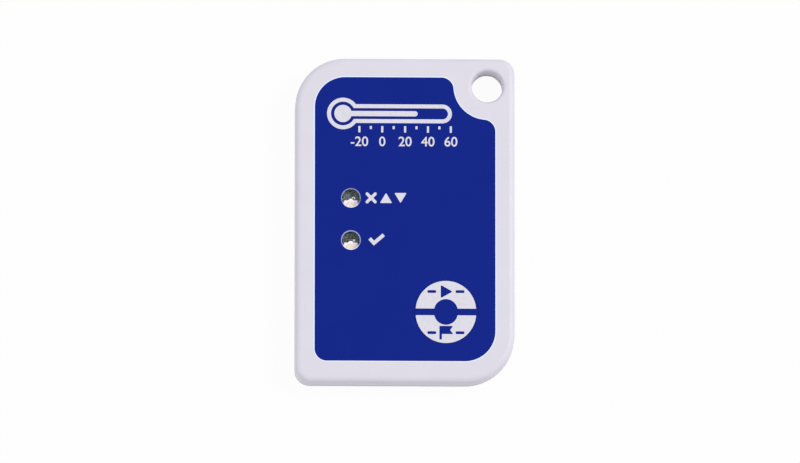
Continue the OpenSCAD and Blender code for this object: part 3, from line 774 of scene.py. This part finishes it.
def lathe(bm, at, profile, steps=32):
    """Turned form round the vertical through a place: profile is (radius, height) upwards."""
    rings = []
    for r, z in profile:
        if r == 0:
            rings.append([bm.verts.new((at[0] * MM, at[1] * MM, z * MM))])
        else:
            rings.append([bm.verts.new(((at[0] + r * math.cos(2 * math.pi * k / steps)) * MM,
                                        (at[1] + r * math.sin(2 * math.pi * k / steps)) * MM,
                                        z * MM)) for k in range(steps)])
    for low, high in zip(rings, rings[1:]):
        for k in range(steps):
            n = (k + 1) % steps
            lower = [low[k], low[n]] if len(low) > 1 else [low[0]]
            upper = [high[n], high[k]] if len(high) > 1 else [high[0]]
            bm.faces.new(lower + upper)


def turned(name, at, profile, material, smooth=True):
    """Turned piece of the case, upright at a place."""
    bm = bmesh.new()
    lathe(bm, at, profile)
    for face in bm.faces:
        face.smooth = smooth
    bmesh.ops.recalc_face_normals(bm, faces=bm.faces)
    return link(name, mesh_from(bm, name), material, "case")


def snap_dome():
    """Thin spring dome under the button's stem."""
    low, high = (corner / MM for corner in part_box("switch_dome"))
    r, rise = (high.x - low.x) / 2, high.z - low.z
    sphere = (r * r + rise * rise) / (2 * rise)
    steps = 14

    def cap(thin):
        """Points from the apex to the rim of the sphere, which is made smaller by thin."""
        edge = math.acos((sphere - rise) / (sphere - thin))
        return [((sphere - thin) * math.sin(edge * k / steps),
                 high.z - sphere + (sphere - thin) * math.cos(edge * k / steps))
                for k in range(steps + 1)]

    piece = turned("snap_dome", BUTTON, cap(DOME_SHEET) + cap(0)[::-1], nickel)
    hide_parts("switch_dome")
    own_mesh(piece)


def solder_drop(name, at, r, rise, steps=8):
    """Domed drop of solder on the board."""
    curve = [(r * math.cos(math.pi / 2 * k / steps),
              BOARD_TOP + rise * math.sin(math.pi / 2 * k / steps)) for k in range(steps)]
    low = BOARD_TOP - TURNED_SUNK
    profile = [(0, low), (r, low)] + curve + [(0, BOARD_TOP + rise)]
    turned(name, at, profile, solder)


def solder_hook(name, at, r=0.4, inner_r=0.18):
    """Curl of solder on the board."""
    flat_piece(name, [[arc(at, r, -60, 190) + arc(at, inner_r, 190, -60)]], solder, "case",
               BOARD_TOP - FLAT_SUNK, BOARD_TOP + SOLDER_RISE)


def beside(lamp, x, y):
    """Place at a distance from the middle of a lamp's window."""
    return LAMPS[lamp][0] + x, LAMPS[lamp][1] + y


def board_copper(lamp, loops):
    """Copper under the mask, from loops drawn round the middle of a lamp's window."""
    shapes = [[placed(loop, LAMPS[lamp])] for loop in loops]
    flat_piece(lamp + "_copper", shapes, mask_on_copper, "case",
               BOARD_TOP - FLAT_SUNK, BOARD_TOP + COPPER_RISE)


def via(name, at):
    """Hole through the board in its ring of masked copper, its bore a dark disc of painted shade.
    """
    low, high, out = BOARD_TOP - TURNED_SUNK, BOARD_TOP + VIA_RISE, VIA_R + VIA_RING
    turned(name + "_rings", at,
           [(VIA_R, low), (out, low), (out, high), (VIA_R, high), (VIA_R, low)],
           mask_on_copper, smooth=False)
    # A dark disc down in the bore stands for the hole's shade: painted shade
    turned(name + "_holes", at,
           [(0, low), (VIA_R, low), (VIA_R, high - VIA_DIP), (0, high - VIA_DIP)],
           epoxy, smooth=False)


snap_dome()
board_copper("alert", [
    rounded([(-1.75, -0.2), (0.1, -0.2), (0.1, 1.9), (-1.75, 1.9)], 0.2),
    bar((1.3, -0.2), (1.3, 0.9), 0.4),
    bar((0.6, 1.2), (2.0, 1.6), 0.3)])
solder_hook("alert_solder_hook", beside("alert", 0.7, 0.25))
via("alert_vias", beside("alert", 1.5, 1.3))
board_copper("ok", [
    bar((-0.1, 0.2), (-0.5, 0.75), 0.6),
    bar((-0.5, 0.75), (0.3, 1.8), 0.35),
    bar((-2.2, 0.9), (-1.2, 1.1), 0.5)])
solder_drop("ok_solder_dome", beside("ok", 0.9, 0.28), r=0.32, rise=0.07)
via("ok_vias", beside("ok", -0.95, 0.85))


# Floor, light and camera

# Kinds of ray for which the floor and the backdrop are white
SEEN = ("Is Camera Ray", "Is Glossy Ray", "Is Transmission Ray")
FLOOR_WHITE = 0.95
FLOOR_PALE = 0.76
FLOOR_HALF, FLOOR_LEVEL = 3000, -0.02
AMBIENT = 0.582

# The camera stands far off, so lines stay nearly parallel, as in the photograph. It aims
# past the case's middle, across and up in its own picture
TILT, LEFT, ROLL = 9.0, 1.6, 0.03
DISTANCE = 4000
AIM = (-1.21, -2.378)
FOCAL_LENGTH, SENSOR = 685.9, 36


def floor():
    """Pale floor: it takes shadows, and the camera sees it nearly as white as the backdrop."""
    material = bpy.data.materials.new("floor")
    look = ShaderTree(material, "ShaderNodeOutputMaterial")
    share = look.add("ShaderNodeMath", {1: FLOOR_WHITE}, operation="MULTIPLY")
    look.join(look.any_ray(*SEEN), share.inputs[0])
    pale = look.add("ShaderNodeBsdfDiffuse", {"Color": (FLOOR_PALE, FLOOR_PALE, FLOOR_PALE, 1)})
    look.show(share.outputs[0], pale, look.add("ShaderNodeEmission"))
    half, level = FLOOR_HALF * MM, FLOOR_LEVEL * MM
    bm = bmesh.new()
    bm.faces.new([bm.verts.new((sx * half, sy * half, level))
                  for sx, sy in ((-1, -1), (1, -1), (1, 1), (-1, 1))])
    mesh = mesh_from(bm, "floor")
    mesh.materials.append(material)
    plane = bpy.data.objects.new("floor", mesh)
    scene.collection.objects.link(plane)


def backdrop():
    """White to the camera, mirrors and glass, and a softer plain light to the surfaces."""
    scene.world = bpy.data.worlds.new("studio")
    look = ShaderTree(scene.world, "ShaderNodeOutputWorld")
    white = (1, 1, 1, 1)
    look.show(look.any_ray(*SEEN),
              look.add("ShaderNodeBackground", {"Color": white, "Strength": AMBIENT}),
              look.add("ShaderNodeBackground", {"Color": white, "Strength": 1.0}))


def softbox(name, at, size, power):
    """Square light turned to the origin, its place and size in metres."""
    lamp = bpy.data.lights.new(name, "AREA")
    lamp.shape = "SQUARE"
    lamp.size = size
    lamp.energy = power
    box = bpy.data.objects.new(name, lamp)
    scene.collection.objects.link(box)
    box.location = at
    box.rotation_euler = (Vector((0, 0, 0)) - Vector(at)).to_track_quat("-Z", "Y").to_euler()


def add_camera():
    """Camera over the front, moved by TILT to the foot and by LEFT to the left, and rolled."""
    tilt, left = math.radians(TILT), math.radians(LEFT)
    back = Vector((-math.sin(left) * math.cos(tilt), -math.sin(tilt),
                   math.cos(left) * math.cos(tilt)))
    right = Vector((0, 1, 0)).cross(back).normalized()
    upward = back.cross(right)
    roll = Matrix.Rotation(math.radians(ROLL), 3, back)
    right, upward = roll @ right, roll @ upward
    camera = bpy.data.cameras.new("camera")
    camera.lens = FOCAL_LENGTH
    camera.sensor_width = SENSOR
    camera.clip_start, camera.clip_end = 0.1, 20
    eye = bpy.data.objects.new("camera", camera)
    scene.collection.objects.link(eye)
    centre = (cad_box[0] + cad_box[1]) / 2
    aim = centre + right * (AIM[0] * MM) + upward * (AIM[1] * MM)
    facing = Matrix((right, upward, back)).transposed().to_4x4()
    eye.matrix_world = Matrix.Translation(aim + back * (DISTANCE * MM)) @ facing
    scene.camera = eye


floor()
backdrop()
softbox("key", at=(2.0, 0.5, 2.2), size=1.1, power=45)
softbox("fill", at=(-1.4, 0.0, 0.8), size=0.9, power=5)
add_camera()
scene.view_settings.view_transform = "Standard"
